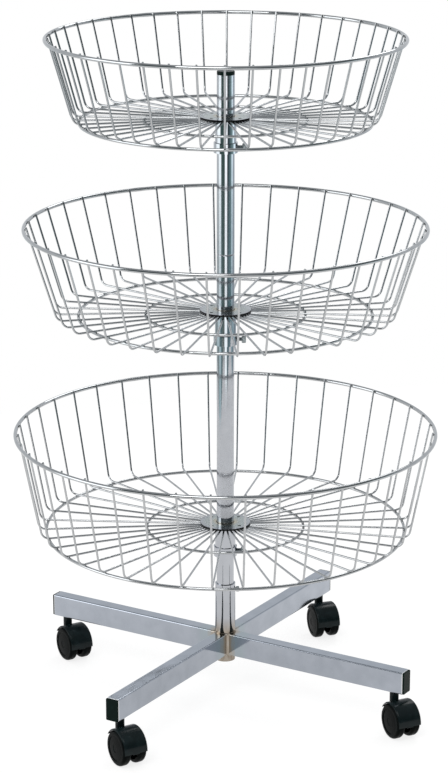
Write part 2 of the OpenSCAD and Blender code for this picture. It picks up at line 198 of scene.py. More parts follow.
def shape(piece: Piece, kind: str, **values: object) -> None:
    """Gives a piece a modifier and applies it.

    Args:
        piece: The piece.
        kind: The modifier's type.
        **values: Its settings by name.
    """
    take(piece)
    step = piece.modifiers.new(kind.lower(), kind)
    for name, value in values.items():
        setattr(step, name, value)
    bpy.ops.object.modifier_apply(modifier=step.name)


def ease_edges(piece: Piece, width: float, steps: int = 3, sharp: float = 40.0) -> None:
    """Rounds a piece's sharp edges.

    Args:
        piece: The piece.
        width: How far the rounding reaches from the edge.
        steps: Faces across the rounding.
        sharp: The angle in degrees from which an edge counts as sharp.
    """
    limit = {"limit_method": "ANGLE", "angle_limit": math.radians(sharp), "use_clamp_overlap": True}
    shape(piece, "BEVEL", width=width, segments=steps, **limit)


def smooth(piece: Piece, angle: float = 35.0) -> None:
    """Shades a piece smooth, and keeps its long faces straight.

    Args:
        piece: The piece.
        angle: The angle in degrees from which an edge stays sharp.
    """
    take(piece)
    bpy.ops.object.shade_smooth_by_angle(angle=math.radians(angle))
    shape(piece, "WEIGHTED_NORMAL", mode="FACE_AREA", keep_sharp=True)


def combine(piece: Piece, other: Piece, operation: str = "DIFFERENCE") -> None:
    """Cuts one closed solid by another, or adds them, and removes the other.

    Args:
        piece: The solid that is kept.
        other: The solid that cuts it or is added to it.
        operation: DIFFERENCE, UNION or INTERSECT.
    """
    shape(piece, "BOOLEAN", operation=operation, solver="EXACT", object=other)
    bpy.data.meshes.remove(other.data)


def joined(name: str, pieces: Sequence[Piece]) -> Piece:
    """Joins pieces into one.

    Args:
        name: The name of the whole.
        pieces: What is joined.

    Returns:
        The whole.
    """
    take(*pieces)
    bpy.ops.object.join()
    return named(name)


def copied(piece: Piece, name: str) -> Piece:
    """Copies a piece, with a mesh of its own.

    Args:
        piece: The piece.
        name: The copy's name.

    Returns:
        The copy.
    """
    take(piece)
    bpy.ops.object.duplicate(linked=False)
    return named(name)


def repeat_round(piece: Piece, count: int, turn: float = 0.0) -> None:
    """Repeats a piece's mesh round the pole's axis.

    Args:
        piece: The piece, with its one shape in place.
        count: How many shapes there are in the end.
        turn: Turn of them all about the axis, in degrees.
    """
    step = 360.0 / count
    with editing(piece):
        bpy.ops.mesh.spin(
            steps=count - 1,
            dupli=True,
            angle=math.radians(step * (count - 1)),
            center=(0, 0, 0),
            axis=(0, 0, 1),
        )
    lay(piece, round_z(turn))


def turned(name: str, outline: Outline, sides: int = 64, hollow: bool = False) -> Piece:
    """Turns an outline about Z: a circle is drawn along it, each step extruded and then sized.

    Args:
        name: The piece's name.
        outline: Radius and height of each step, from the first circle to the last.
        sides: Faces round the piece.
        hollow: Whether the last circle joins the first one, as on a tube, in place of both being closed.

    Returns:
        The piece, closed, with its normals outwards.
    """
    first_r, first_z = outline[0]
    put_down()
    bpy.ops.mesh.primitive_circle_add(vertices=sides, radius=first_r, location=(0, 0, first_z))
    piece = named(name)
    with editing(piece):
        for (r, z), (next_r, next_z) in zip(outline, outline[1:]):
            bpy.ops.mesh.extrude_edges_move(TRANSFORM_OT_translate={"value": (0, 0, next_z - z)})
            share = next_r / r
            bpy.ops.transform.resize(value=(share, share, 1), center_override=(0, 0, next_z))
        if not hollow:
            bpy.ops.mesh.edge_face_add()
        bpy.ops.mesh.select_all(action="DESELECT")
        bpy.context.tool_settings.mesh_select_mode = (False, True, False)
        bpy.ops.mesh.select_non_manifold(extend=False)
        if hollow:
            bpy.ops.mesh.bridge_edge_loops()
        else:
            bpy.ops.mesh.edge_face_add()
        bpy.ops.mesh.select_all(action="SELECT")
        bpy.ops.mesh.normals_make_consistent(inside=False)
    settle(piece)
    return piece


def rod(name: str, radius: float, start: Vector, end: Vector, sides: int = 24) -> Piece:
    """Makes a plain round bar between two points, as a cutter or a blank.

    Args:
        name: The piece's name.
        radius: Its radius.
        start: The middle of one end.
        end: The middle of the other end.
        sides: Faces round it.

    Returns:
        The bar.
    """
    along = end - start
    put_down()
    bpy.ops.mesh.primitive_cylinder_add(
        vertices=sides,
        radius=radius,
        depth=along.length,
        location=(start + end) / 2,
        rotation=along.to_track_quat("Z", "Y").to_euler(),
    )
    piece = named(name)
    settle(piece)
    return piece


def upright(name: str, radius: float, low: float, high: float, sides: int, x: float = 0.0) -> Piece:
    """Makes a plain round bar along Z between two heights, at a place along +X."""
    return rod(name, radius, Vector((x, 0, low)), Vector((x, 0, high)), sides)


def pipe(name: str, bore_r: float, reach: Span) -> Piece:
    """Turns a plain ring or tube with a bore, as wide and as high as a span."""
    corners = ((bore_r, reach.low), (reach.r, reach.low), (reach.r, reach.high), (bore_r, reach.high))
    return turned(name, corners, 96, hollow=True)


def arc(
    centre: tuple[float, float], radius: float, start: int, end: int, step: int = 15
) -> list[tuple[float, float]]:
    """Rounds a corner of an outline.

    Args:
        centre: The middle of the rounding.
        radius: Its radius.
        start: The angle in degrees at which it starts.
        end: The angle at which it ends.
        step: The angle between its corners.

    Returns:
        The rounding's corners.
    """
    turns = [math.radians(turn) for turn in range(start, end + 1, step)]
    return [(centre[0] + radius * math.cos(turn), centre[1] + radius * math.sin(turn)) for turn in turns]


def pointing_out(turn: float, r: float, z: float) -> Matrix:
    """The place of a piece that was turned about Z and points out from the pole, at a radius and a height."""
    return round_z(turn) @ Matrix.Translation((r, 0, z)) @ Matrix.Rotation(math.pi / 2, 4, "Y")


def drill_out(tube: Piece, radius: float, walls: tuple[float, float], z: float, turn: float) -> None:
    """Drills the hole of a screw through a tube's wall.

    Args:
        tube: The tube.
        radius: The hole's radius.
        walls: The tube's inner and outer radius.
        z: The hole's height.
        turn: The hole's direction, in degrees.
    """
    hole = rod("hole", radius, Vector((walls[0] - MM, 0, z)), Vector((walls[1] + MM, 0, z)), 32)
    lay(hole, round_z(turn))
    combine(tube, hole)


def wire_ring(name: str, r: float, z: float, wire_r: float, weld_turn: float) -> Piece:
    """Bends a round wire into a ring about the pole's axis and raises its butt weld.

    Args:
        name: The piece's name.
        r: The ring's radius, to the middle of the wire.
        z: The ring's height.
        wire_r: The wire's radius.
        weld_turn: Direction of the butt weld, in degrees.

    Returns:
        The ring, closed.
    """
    sides, steps, swell = 16, 144, 1.1
    put_down()
    bpy.ops.mesh.primitive_circle_add(
        vertices=sides, radius=wire_r, location=(r, 0, z), rotation=(math.pi / 2, 0, 0)
    )
    piece = named(name)
    settle(piece)
    with editing(piece):
        bpy.ops.mesh.spin(steps=steps, angle=math.tau, center=(0, 0, 0), axis=(0, 0, 1))
        bpy.ops.mesh.select_all(action="SELECT")
        bpy.ops.mesh.remove_doubles(threshold=0.01 * MM)
        bpy.ops.mesh.normals_make_consistent(inside=False)
        pick(piece, Element.CORNER, lambda at: abs(azimuth(at)) < 0.6 * 360 / steps)
        bpy.ops.transform.resize(value=(swell, swell, swell), center_override=(r, 0, z))
    lay(piece, round_z(weld_turn))
    smooth(piece)
    return piece


# Finishes -------------------------------------------------------------------------------------------------


class Nodes:
    """A material's or the world's node tree, written from the pattern towards the surface."""

    def __init__(self, owner: bpy.types.Material | bpy.types.World) -> None:
        """Opens the tree, with its first shader and the object's own coordinates.

        Args:
            owner: The material or the world.
        """
        owner.use_nodes = True
        self.owner = owner
        self.tree = owner.node_tree
        self.output = next(node for node in self.tree.nodes if "OUTPUT" in node.type)
        self.shader = self.output.inputs["Surface"].links[0].from_node
        self.coordinates = self.tree.nodes.new("ShaderNodeTexCoord")
        self.place = self.coordinates.outputs["Object"]

    @classmethod
    def surface(cls, name: str, **values: float) -> "Nodes":
        """Starts a new material.

        Args:
            name: Its name.
            **values: Plain values of its shader's sockets, by name, with _ for each space.

        Returns:
            The material's tree.
        """
        nodes = cls(bpy.data.materials.new(name))
        for socket, value in values.items():
            nodes.feed(value, nodes.shader.inputs[socket.replace("_", " ")])
        return nodes

    def feed(self, source: Feed, target: Socket) -> None:
        """Gives a socket what it works with.

        Args:
            source: Another socket, or a plain value.
            target: The socket.
        """
        if isinstance(source, Socket):
            self.tree.links.new(source, target)
        else:
            target.default_value = (*source, 1.0) if target.type == "RGBA" else source

    def step(self, kind: str, result: str | int, feeds: dict[str | int, Feed], **values: object) -> Socket:
        """Adds a node.

        Args:
            kind: The node's type.
            result: The name or number of the socket that is used of it.
            feeds: What goes into its sockets, by name or number.
            **values: Its properties by name.

        Returns:
            The socket that is used of it.
        """
        node = self.tree.nodes.new(kind)
        for name, value in values.items():
            setattr(node, name, value)
        for name, source in feeds.items():
            self.feed(source, node.inputs[name])
        return node.outputs[result]

    def stretched(self, x: float, y: float, z: float) -> Socket:
        """The object's coordinates, stretched along each axis."""
        return self.step("ShaderNodeMapping", "Vector", {"Vector": self.place, "Scale": (x, y, z)})

    def part(self, place: Socket, axis: str) -> Socket:
        """One of the three parts of a place or a direction."""
        return self.step("ShaderNodeSeparateXYZ", axis, {"Vector": place})

    def distance(self, place: Socket) -> Socket:
        """How far a place lies from the origin."""
        return self.step("ShaderNodeVectorMath", "Value", {0: place}, operation="LENGTH")

    def noise(self, place: Socket, scale: float, detail: float = 3.0) -> Socket:
        """A soft random pattern from 0 to 1, with so many spots in a metre and so many finer layers."""
        return self.step("ShaderNodeTexNoise", "Fac", {"Vector": place, "Scale": scale, "Detail": detail})

    def spread(self, value: Socket, low: float, high: float, start: float = 0.0, end: float = 1.0) -> Socket:
        """Spreads a value between two others: low at its start and high at its end."""
        marks = {"Value": value, "From Min": start, "From Max": end, "To Min": low, "To Max": high}
        return self.step("ShaderNodeMapRange", "Result", marks)

    def band(self, value: Socket, low: float, high: float, rise: float, fall: float) -> Socket:
        """1 where a value lies from low to high, fading in over a rise before and out over a fall after."""
        above = self.spread(value, 0.0, 1.0, low - rise, low)
        return self.math("MULTIPLY", above, self.spread(value, 1.0, 0.0, high, high + fall))

    def ramp(self, value: Socket, stops: Stops) -> Socket:
        """Turns a value into a colour.

        Args:
            value: The value.
            stops: Place and colour of each stop, in order.

        Returns:
            The colour.
        """
        band = self.tree.nodes.new("ShaderNodeValToRGB")
        elements = band.color_ramp.elements
        while len(elements) < len(stops):
            elements.new(1.0)
        for element, (at, colour) in zip(elements, stops):
            element.position = at
            element.color = (*colour, 1.0)
        self.feed(value, band.inputs["Fac"])
        return band.outputs["Color"]

    def math(self, operation: str, *values: Feed) -> Socket:
        """Joins values by arithmetic."""
        return self.step("ShaderNodeMath", "Value", dict(enumerate(values)), operation=operation)

    def mixed(self, share: Socket, first: Feed, second: Feed) -> Socket:
        """Mixes two colours, with a share of the second."""
        return self.step("ShaderNodeMix", 2, {0: share, 6: first, 7: second}, data_type="RGBA")

    def coat(self, colour: Feed, roughness: Feed, relief: Socket, depth: float) -> bpy.types.Material:
        """Gives the surface its colour, its roughness and its fine relief.

        Args:
            colour: The colour.
            roughness: The roughness.
            relief: The pattern that raises the surface.
            depth: The relief's depth in metres.

        Returns:
            The material.
        """
        normal = self.step("ShaderNodeBump", "Normal", {"Height": relief, "Distance": depth, "Strength": 1.0})
        for name, source in (("Base Color", colour), ("Roughness", roughness), ("Normal", normal)):
            self.feed(source, self.shader.inputs[name])
        return self.owner


@dataclass(frozen=True)
class Chrome:
    """Bright chrome plate: two near tints in soft clouds, a slight haze and the ripple of the metal below."""

    name: str = "bright_chrome"
    tint: Colour = (0.505, 0.515, 0.523)
    haze_tint: Colour = (0.455, 0.465, 0.473)
    polish: float = 0.04
    haze: float = 0.10
    cloud_scale: float = 60.0
    clouds: tuple[float, float] = (0.3, 0.7)
    ripple_scale: float = 220.0
    ripple_depth: float = 0.00002

    def colour(self, nodes: Nodes, plain: Socket) -> Socket:
        """The plate's colour, which is its plain clouds where no weld is near."""
        return plain

    def material(self) -> bpy.types.Material:
        """Makes the material.

        Returns:
            The material.
        """
        nodes = Nodes.surface(self.name, Metallic=1.0)
        cloud = nodes.noise(nodes.place, self.cloud_scale)
        low, high = self.clouds
        plain = nodes.ramp(cloud, ((low, self.haze_tint), (high, self.tint)))
        ripple = nodes.noise(nodes.place, self.ripple_scale, 2.0)
        roughness = nodes.spread(cloud, self.haze, self.polish, low, high)
        return nodes.coat(self.colour(nodes, plain), roughness, ripple, self.ripple_depth)


TUBE = Chrome("tube_chrome", (0.500, 0.515, 0.545), (0.460, 0.475, 0.505))


@dataclass(frozen=True)
class WeldedChrome(Chrome):
    """Chrome plate near a weld: brown, straw and blue heat tint towards the pole's axis, and painted edge
    light
    beyond a set radius: a near-white painted highlight on the end of a leg, near-black painted shade on a
    plate's rim."""

    name: str = "chrome_heat_tinted"
    tint: Colour = TUBE.tint
    haze_tint: Colour = TUBE.haze_tint
    straw: Colour = (0.42, 0.37, 0.31)
    brown: Colour = (0.20, 0.155, 0.115)
    blue: Colour = (0.39, 0.44, 0.475)
    # Painted highlight: the near-white colour on a leg's end, past the edge radius.
    cut: Colour = (0.92, 0.93, 0.94)
    weld_r: float = 0.016
    tint_r: float = 0.026
    blue_r: float = 0.045
    edge_light_r: float = 0.2966
    top: float = 0.104
    straw_at: float = 0.35
    blue_at: float = 0.75
    tint_fade: float = 0.012
    blue_fade: float = 0.008
    edge_light_fade: float = 0.0003
    top_fade: tuple[float, float] = (-0.006, 0.016)
    rag: float = 0.014
    rag_scale: float = 260.0
    rag_squash: float = 0.25

    def colour(self, nodes: Nodes, plain: Socket) -> Socket:
        """Lays the heat tint and the outer edge's painted light over the plain plate.

        Args:
            nodes: The material's tree.
            plain: The plain plate's colour.

        Returns:
            The colour.
        """
        away = nodes.distance(nodes.stretched(1.0, 1.0, 0.0))
        speckle = nodes.noise(nodes.stretched(1.0, 1.0, self.rag_squash), self.rag_scale)
        ragged = nodes.math("MULTIPLY_ADD", speckle, self.rag, away)
        rings = nodes.ramp(
            nodes.spread(ragged, 0.0, 1.0, self.weld_r, self.tint_r + self.tint_fade),
            ((0.0, self.brown), (self.straw_at, self.straw), (self.blue_at, self.blue)),
        )
        past_blue = nodes.spread(away, 0.0, 1.0, self.tint_r + self.blue_fade, self.blue_r)
        height = nodes.part(nodes.place, "Z")
        above = nodes.spread(height, 0.0, 1.0, *(self.top + fade for fade in self.top_fade))
        steel = nodes.mixed(above, nodes.mixed(past_blue, rings, plain), plain)
        # Past the edge radius the colour is painted light: a highlight on a leg's end, shade on a plate's rim.
        past_edge_light = nodes.spread(away, 0.0, 1.0, self.edge_light_r, self.edge_light_r + self.edge_light_fade)
        return nodes.mixed(past_edge_light, steel, nodes.ramp(past_edge_light, ((0.0, self.tint), (1.0, self.cut))))


@dataclass(frozen=True)
class Zinc:
    """Zinc-plated steel of screws, stems and axles: cool grey with a fine spangle and a fine grain."""

    name: str = "bright_zinc"
    light: Colour = (0.42, 0.45, 0.46)
    dark: Colour = (0.20, 0.24, 0.25)
    bright: float = 0.18
    dull: float = 0.32
    spangle_scale: float = 700.0
    spangles: tuple[float, float] = (0.25, 0.75)
    grain_scale: float = 2500.0
    grain_depth: float = 0.00003

    def material(self) -> bpy.types.Material:
        """Makes the material.

        Returns:
            The material.
        """
        nodes = Nodes.surface(self.name, Metallic=1.0)
        spangle = nodes.noise(nodes.place, self.spangle_scale)
        colour = nodes.ramp(spangle, tuple(zip(self.spangles, (self.dark, self.light))))
        grain = nodes.noise(nodes.place, self.grain_scale)
        return nodes.coat(colour, nodes.spread(spangle, self.dull, self.bright), grain, self.grain_depth)


@dataclass(frozen=True)
class Moulding:
    """Moulded black plastic: a deep base, a fine grain from the mould and paler rubbed patches."""

    name: str
    base: Colour
    rubbed: Colour
    gloss: float
    dull: float
    grain_scale: float
    grain_depth: float
    sheen: float
    ior: float = 1.45
    patch_scale: float = 90.0
    patches: tuple[float, float] = (0.45, 0.85)
    dull_patches: tuple[float, float] = (0.3, 0.8)

    def material(self) -> bpy.types.Material:
        """Makes the material.

        Returns:
            The material.
        """
        nodes = Nodes.surface(self.name, IOR=self.ior, Specular_IOR_Level=self.sheen)
        patch = nodes.noise(nodes.place, self.patch_scale)
        colour = nodes.ramp(patch, tuple(zip(self.patches, (self.base, self.rubbed))))
        grain = nodes.noise(nodes.place, self.grain_scale, 1.0)
        polish = nodes.spread(patch, self.gloss, self.dull, *self.dull_patches)
        return nodes.coat(colour, polish, grain, self.grain_depth)


SATIN = WeldedChrome(
    name="chrome_satin",
    tint=(0.445, 0.475, 0.53),
    haze_tint=(0.39, 0.42, 0.47),
    polish=0.05,
    haze=0.11,
    cloud_scale=45.0,
)
HUB = WeldedChrome(
    name="hub_chrome",
    haze_tint=(0.40, 0.415, 0.44),
    polish=0.15,
    haze=0.32,
    cloud_scale=120.0,
    ripple_scale=300.0,
    ripple_depth=0.00004,
    straw=(0.54, 0.49, 0.38),
    brown=(0.36, 0.29, 0.19),
    blue=(0.46, 0.50, 0.49),
    # Painted shade: the plate's rim is near black.
    cut=(0.03, 0.032, 0.032),
    weld_r=0.0135,
    tint_r=0.020,
    blue_r=0.034,
    edge_light_r=0.0359,
    top=2.0,
)
# The caps' green tint is a painted reflection of the teal room, laid over the plastic's black.
CAP = Moulding(
    "cap_moulding", (0.004, 0.011, 0.009), (0.008, 0.022, 0.018), 0.18, 0.32, 2600.0, 0.00004, 0.06
)
# The hood's teal tint is a painted sheen, standing in for the teal reflection on its top.
HOOD = Moulding(
    "caster_moulding", (0.005, 0.010, 0.011), (0.010, 0.020, 0.022), 0.16, 0.30, 1800.0, 0.00003, 0.20
)
TYRE = Moulding(
    "tyre_moulding", (0.002, 0.003, 0.003), (0.006, 0.009, 0.009), 0.24, 0.4, 2200.0, 0.00004, 0.04
)


class Finish(Enum):
    """The stand's finishes: each one's material slot and how it is made."""

    CHROME = ("chrome_plate", Chrome())
    TUBE_CHROME = ("chrome_plate", TUBE)
    WELDED_CHROME = ("chrome_plate", WeldedChrome())
    SATIN_CHROME = ("chrome_plate", SATIN)
    HUB_CHROME = ("chrome_plate", HUB)
    ZINC = ("zinc_steel", Zinc())
    CAP = ("black_plastic", CAP)
    CASTER = ("caster_black", HOOD)
    TYRE = ("caster_black", TYRE)

    @property
    def slot(self) -> str:
        """The record's material slot."""
        return self.value[0]

    def material(self) -> bpy.types.Material:
        """The finish's material, made on first use."""
        maker = self.value[1]
        return bpy.data.materials.get(maker.name) or maker.material()


def fit(piece: Piece, body: str, finish: Finish, *nodes: str) -> None:
    """Dresses a finished piece and hands it to its body.

    Args:
        piece: The finished piece, in place.
        body: The body that it rides on.
        finish: Its finish.
        *nodes: The solids that it stands for.
    """
    piece.data.materials.clear()
    piece.data.materials.append(finish.material())
    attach(piece, body)
    if nodes:
        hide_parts(*nodes)
    log.info("%s rides on %s: %d faces", piece.name, body, len(piece.data.polygons))


def dress(node: str, finish: Finish) -> None:
    """Gives a solid of the frame that is kept as it is its finish.

    Args:
        node: The solid's name.
        finish: Its finish.
    """
    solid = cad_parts[node]
    solid.data.materials.clear()
    solid.data.materials.append(finish.material())
    log.info("%s keeps its solid", node)


# Baskets --------------------------------------------------------------------------------------------------


class Tier(Enum):
    """The three baskets."""

    TOP = "top"
    MIDDLE = "middle"
    BOTTOM = "bottom"


@dataclass
class Basket:
    """A round basket of bent wires that turns on the pole, with its hub and the collar that holds it up."""

    tier: Tier
    wires: int
    turn: float
    corner_r: float
    ring_welds: tuple[tuple[str, float], ...] = (("rim", 104.0), ("base_ring", 118.0), ("inner_ring", 96.0))
    wire_r: float = 1.5 * MM
    wire_sides: int = 12
    bend_r: float = 12 * MM
    bend_steps: int = 7
    tip_over: float = 0.5 * MM
    end_round: float = 0.5 * MM
    end_share: float = 0.75
    weld_gap: float = 0.05 * MM
    rim_weld: float = 2.1 * MM
    base_weld: float = 1.9 * MM
    inner_weld: float = 1.7 * MM
    spoke_end_r: float = 24 * MM
    plate_hole_r: float = 13.2 * MM
    drains: int = 4
    drain_r: float = 2.5 * MM
    drain_out: float = 2 * MM
    drain_turn: float = 32.0
    bore_r: float = 12.55 * MM
    edge: float = 0.6 * MM
    screw_turn: float = -13.0
    screw_r: float = 3 * MM
    screw_tip_r: float = 12.6 * MM
    screw_out: float = 6 * MM
    thread_pitch: float = 1 * MM
    thread_root: float = 0.86
    head_r: float = 5.5 * MM
    head_h: float = 6 * MM
    head_lip: float = 0.8 * MM
    head_grooves: int = 10
    groove_share: float = 0.93

    def solid(self, part: str) -> str:
        """The name of one of the basket's solids."""
        return f"{self.tier.value}_{part}"

    @property
    def body(self) -> str:
        """The body that the basket rides on."""
        return self.solid("basket")

    def build(self) -> None:
        """Builds and dresses the whole basket."""
        self.rings()
        self.wire_cage()
        self.hub()
        self.collar()
        self.thumb_screw()

    def rings(self) -> None:
        """Bends the rim and the two rings under the floor."""
        for part, weld_turn in self.ring_welds:
            reach = span(self.solid(part))
            wire_r = reach.rise / 2
            ring = wire_ring(self.solid(part + "_wire"), reach.r - wire_r, reach.middle, wire_r, weld_turn)
            fit(ring, self.body, Finish.CHROME, self.solid(part))

    def weld(self, r: float, z: float, lean: float, size: float) -> Piece:
        """Makes the flattened nugget of a spot weld in the plane of a wire.

        Args:
            r: Its distance from the pole's axis.
            z: Its height.
            lean: How far its flat side leans from level, in radians.
            size: Its radius.

        Returns:
            The nugget.
        """
        thick = 0.45 * size
        brim = 0.3 * thick
        nugget = turned("weld", ((thick, -thick), (size, -brim), (size, brim), (thick, thick)), 8)
        lay(nugget, Matrix.Translation((r, 0, z)) @ Matrix.Rotation(lean, 4, "Y"))
        return nugget

    def bent_wire(self) -> Piece:
        """Draws one wire out from under the hub, up round the bend and along the wall, with its welds.

        Returns:
            The wire.
        """
        rim, cage = span(self.solid("rim")), span(self.solid("wire_cage"))
        rim_wire_r = rim.rise / 2
        rim_r, floor_z = rim.r - rim_wire_r, cage.low + self.wire_r
        run, rise = rim_r - self.corner_r, rim.middle - floor_z
        offset = rim_wire_r + self.wire_r + self.weld_gap
        lean = math.acos(offset / math.hypot(run, rise)) - math.atan2(rise, run)
        bend = math.pi / 2 - lean
        bend_start = self.corner_r - self.bend_r * math.tan(bend / 2)
        wall = (rim.high + self.tip_over - floor_z - self.bend_r * (1 - math.sin(lean))) / math.cos(lean)
        up = Vector((math.sin(lean), 0, math.cos(lean)))
        out = Vector((math.cos(lean), 0, -math.sin(lean)))
        bend_middle = Vector((bend_start, 0, floor_z + self.bend_r))
        tip = bend_middle + out * self.bend_r + up * wall
        blunt = self.end_share
        put_down()
        bpy.ops.mesh.primitive_circle_add(
            vertices=self.wire_sides,
            radius=self.wire_r * blunt,
            fill_type="NGON",
            location=(self.spoke_end_r, 0, floor_z),
            rotation=(0, math.pi / 2, 0),
        )
        wire = named(self.solid("bent_wire"))
        settle(wire)
        start = self.spoke_end_r + self.end_round
        with editing(wire):
            bpy.ops.mesh.extrude_region_move(TRANSFORM_OT_translate={"value": (self.end_round, 0, 0)})
            bpy.ops.transform.resize(value=(1, 1 / blunt, 1 / blunt), center_override=(start, 0, floor_z))
            bpy.ops.mesh.extrude_region_move(TRANSFORM_OT_translate={"value": (bend_start - start, 0, 0)})
            bpy.ops.mesh.spin(steps=self.bend_steps, angle=bend, center=bend_middle, axis=(0, 1, 0))
            bpy.ops.mesh.extrude_region_move(TRANSFORM_OT_translate={"value": up * (wall - self.end_round)})
            bpy.ops.mesh.extrude_region_move(TRANSFORM_OT_translate={"value": up * self.end_round})
            bpy.ops.transform.resize(value=(blunt, blunt, blunt), center_override=tip)
            bpy.ops.mesh.select_all(action="SELECT")
            bpy.ops.mesh.normals_make_consistent(inside=False)
        base, inner = span(self.solid("base_ring")), span(self.solid("inner_ring"))
        touch = Vector((rim_r, 0, rim.middle)) - out * rim_wire_r
        welds = [
            self.weld(touch.x, touch.z, math.pi / 2 + lean, self.rim_weld),
            self.weld(base.r - base.rise / 2, floor_z - self.wire_r, 0.0, self.base_weld),
            self.weld(inner.r - inner.rise / 2, floor_z - self.wire_r, 0.0, self.inner_weld),
        ]
        return joined(self.solid("wires"), [wire, *welds])

    def wire_cage(self) -> None:
        """Repeats the bent wire round the pole."""
        cage = self.bent_wire()
        repeat_round(cage, self.wires, self.turn)
        smooth(cage, 50)
        fit(cage, self.body, Finish.CHROME, self.solid("wire_cage"))

    def hub(self) -> None:
        """Makes the plate over the spokes' inner ends and the sleeve below it."""
        plate, sleeve = span(self.solid("hub_plate")), span(self.solid("hub_sleeve"))
        disc = pipe(self.solid("hub_disc"), self.plate_hole_r, plate)
        drain_at = (plate.r + sleeve.r) / 2 + self.drain_out
        drain = upright("drain", self.drain_r, plate.low - plate.rise, plate.high + plate.rise, 32, drain_at)
        repeat_round(drain, self.drains, self.turn + self.drain_turn)
        combine(disc, drain)
        tube = pipe(self.solid("hub_tube"), self.bore_r, sleeve)
        parts = ((disc, Finish.HUB_CHROME, "hub_plate"), (tube, Finish.TUBE_CHROME, "hub_sleeve"))
        for piece, finish, part in parts:
            ease_edges(piece, self.edge)
            smooth(piece)
            fit(piece, self.body, finish, self.solid(part))

    def collar(self) -> None:
        """Makes the collar that clamps to the pole, with the hole for its screw."""
        ring = span(self.solid("collar"))
        collar = pipe(self.solid("collar_ring"), self.bore_r, ring)
        drill_out(collar, self.screw_r + self.weld_gap, (self.bore_r, ring.r), ring.middle, self.screw_turn)
        ease_edges(collar, self.edge)
        smooth(collar)
        fit(collar, self.solid("collar"), Finish.TUBE_CHROME, self.solid("collar"))

    def thumb_screw(self) -> None:
        """Turns the screw's threaded shank and its grooved head."""
        ring = span(self.solid("collar"))
        neck, top = ring.r - self.bore_r + self.screw_out, ring.r - self.bore_r + self.screw_out + self.head_h
        root, crest = self.thread_root * self.screw_r, self.thread_pitch / 2
        outline = [(root, 0.0)]
        while crest + self.thread_pitch / 2 < neck:
            outline += [(self.screw_r, crest), (root, crest + self.thread_pitch / 2)]
            crest += self.thread_pitch
        shank = turned("shank", (*outline, (root, neck + MM)), 32)
        r, lip = self.head_r, self.head_lip
        side = ((r - lip, neck), (r, neck + lip), (r, top - lip), (r - lip, top))
        head = turned("head", (*side, (0.6 * r, top), (0.5 * r, top - lip / 2)), 6 * self.head_grooves)
        step = 360 / self.head_grooves
        with editing(head):
            pick(
                head,
                Element.CORNER,
                lambda at: (azimuth(at) + step / 4) % step < step / 2 - 1
                and math.hypot(at.x, at.y) > 0.8 * r,
            )
            share = self.groove_share
            bpy.ops.transform.resize(value=(share, share, 1), center_override=(0, 0, 0))
        screw = joined(self.solid("screw"), [shank, head])
        lay(screw, pointing_out(self.screw_turn, self.screw_tip_r, ring.middle))
        smooth(screw)
        fit(screw, self.solid("thumb_screw"), Finish.ZINC, self.solid("thumb_screw"))


# Pole and base --------------------------------------------------------------------------------------------


@dataclass
class Pole:
    """The pole: two plain tubes, end to end, and the cap in the upper one."""

    body: str = "base"
    wall: float = 1.5 * MM
    edge: float = 0.4 * MM
    joint_edge: float = 1.1 * MM
    sides: int = 128
    cap_gap: float = 0.1 * MM
    cap_round: float = 1.5 * MM
    cap_nose: float = 1 * MM
    cap_dent: float = 0.3 * MM

    def build(self) -> None:
        """Builds and dresses the pole."""
        self.tube("lower", self.edge, self.joint_edge)
        self.tube("upper", self.joint_edge, self.edge)
        self.cap()
        dress("pole_spigot", Finish.ZINC)

    def tube(self, part: str, foot: float, head: float) -> None:
        """Draws one tube of the pole.

        Args:
            part: Which tube it is.
            foot: How far its lower outer edge is rounded.
            head: How far its upper outer edge is rounded.
        """
        reach = span(f"pole_{part}")
        inner = reach.r - self.wall
        outer = arc((reach.r - foot, reach.low + foot), foot, -90, 0)
        outer += arc((reach.r - head, reach.high - head), head, 0, 90)
        outline = ((inner, reach.low), *outer, (inner, reach.high))
        tube = turned(f"pole_tube_{part}", outline, self.sides, hollow=True)
        smooth(tube)
        fit(tube, self.body, Finish.TUBE_CHROME, f"pole_{part}")

    def cap(self) -> None:
        """Turns the cap: a plug with a chamfered nose and a flat top with a rounded edge."""
        cap, tube = span("pole_cap"), span("pole_upper")
        plug_r = tube.r - self.wall - self.cap_gap
        nose, corner = self.cap_nose, self.cap_round
        outline = (
            (plug_r - nose, cap.low),
            (plug_r, cap.low + nose),
            (plug_r, tube.high),
            (cap.r, tube.high),
            *arc((cap.r - corner, cap.high - corner), corner, 0, 90),
            (0.6 * cap.r, cap.high),
            (0.56 * cap.r, cap.high - self.cap_dent),
        )
        piece = turned("pole_plug", outline, self.sides)
        smooth(piece)
        fit(piece, self.body, Finish.CAP, "pole_cap")


class Quarter(Enum):
    """The four legs, each with its caster: name, direction and the way the caster trails, in degrees."""

    FRONT_LEFT = ("front_left", -135.0, -72.0)
    FRONT_RIGHT = ("front_right", -45.0, -77.0)
    BACK_LEFT = ("back_left", 135.0, -72.0)
    BACK_RIGHT = ("back_right", 45.0, -84.0)

    @property
    def side(self) -> str:
        """The end of the names of the leg's and the caster's solids."""
        return self.value[0]

    @property
    def turn(self) -> Matrix:
        """The turn that brings +X to the leg's direction."""
        return round_z(self.value[1])

    @property
    def trail(self) -> Matrix:
        """The turn that brings +X to the way the caster trails."""
        return round_z(self.value[2])


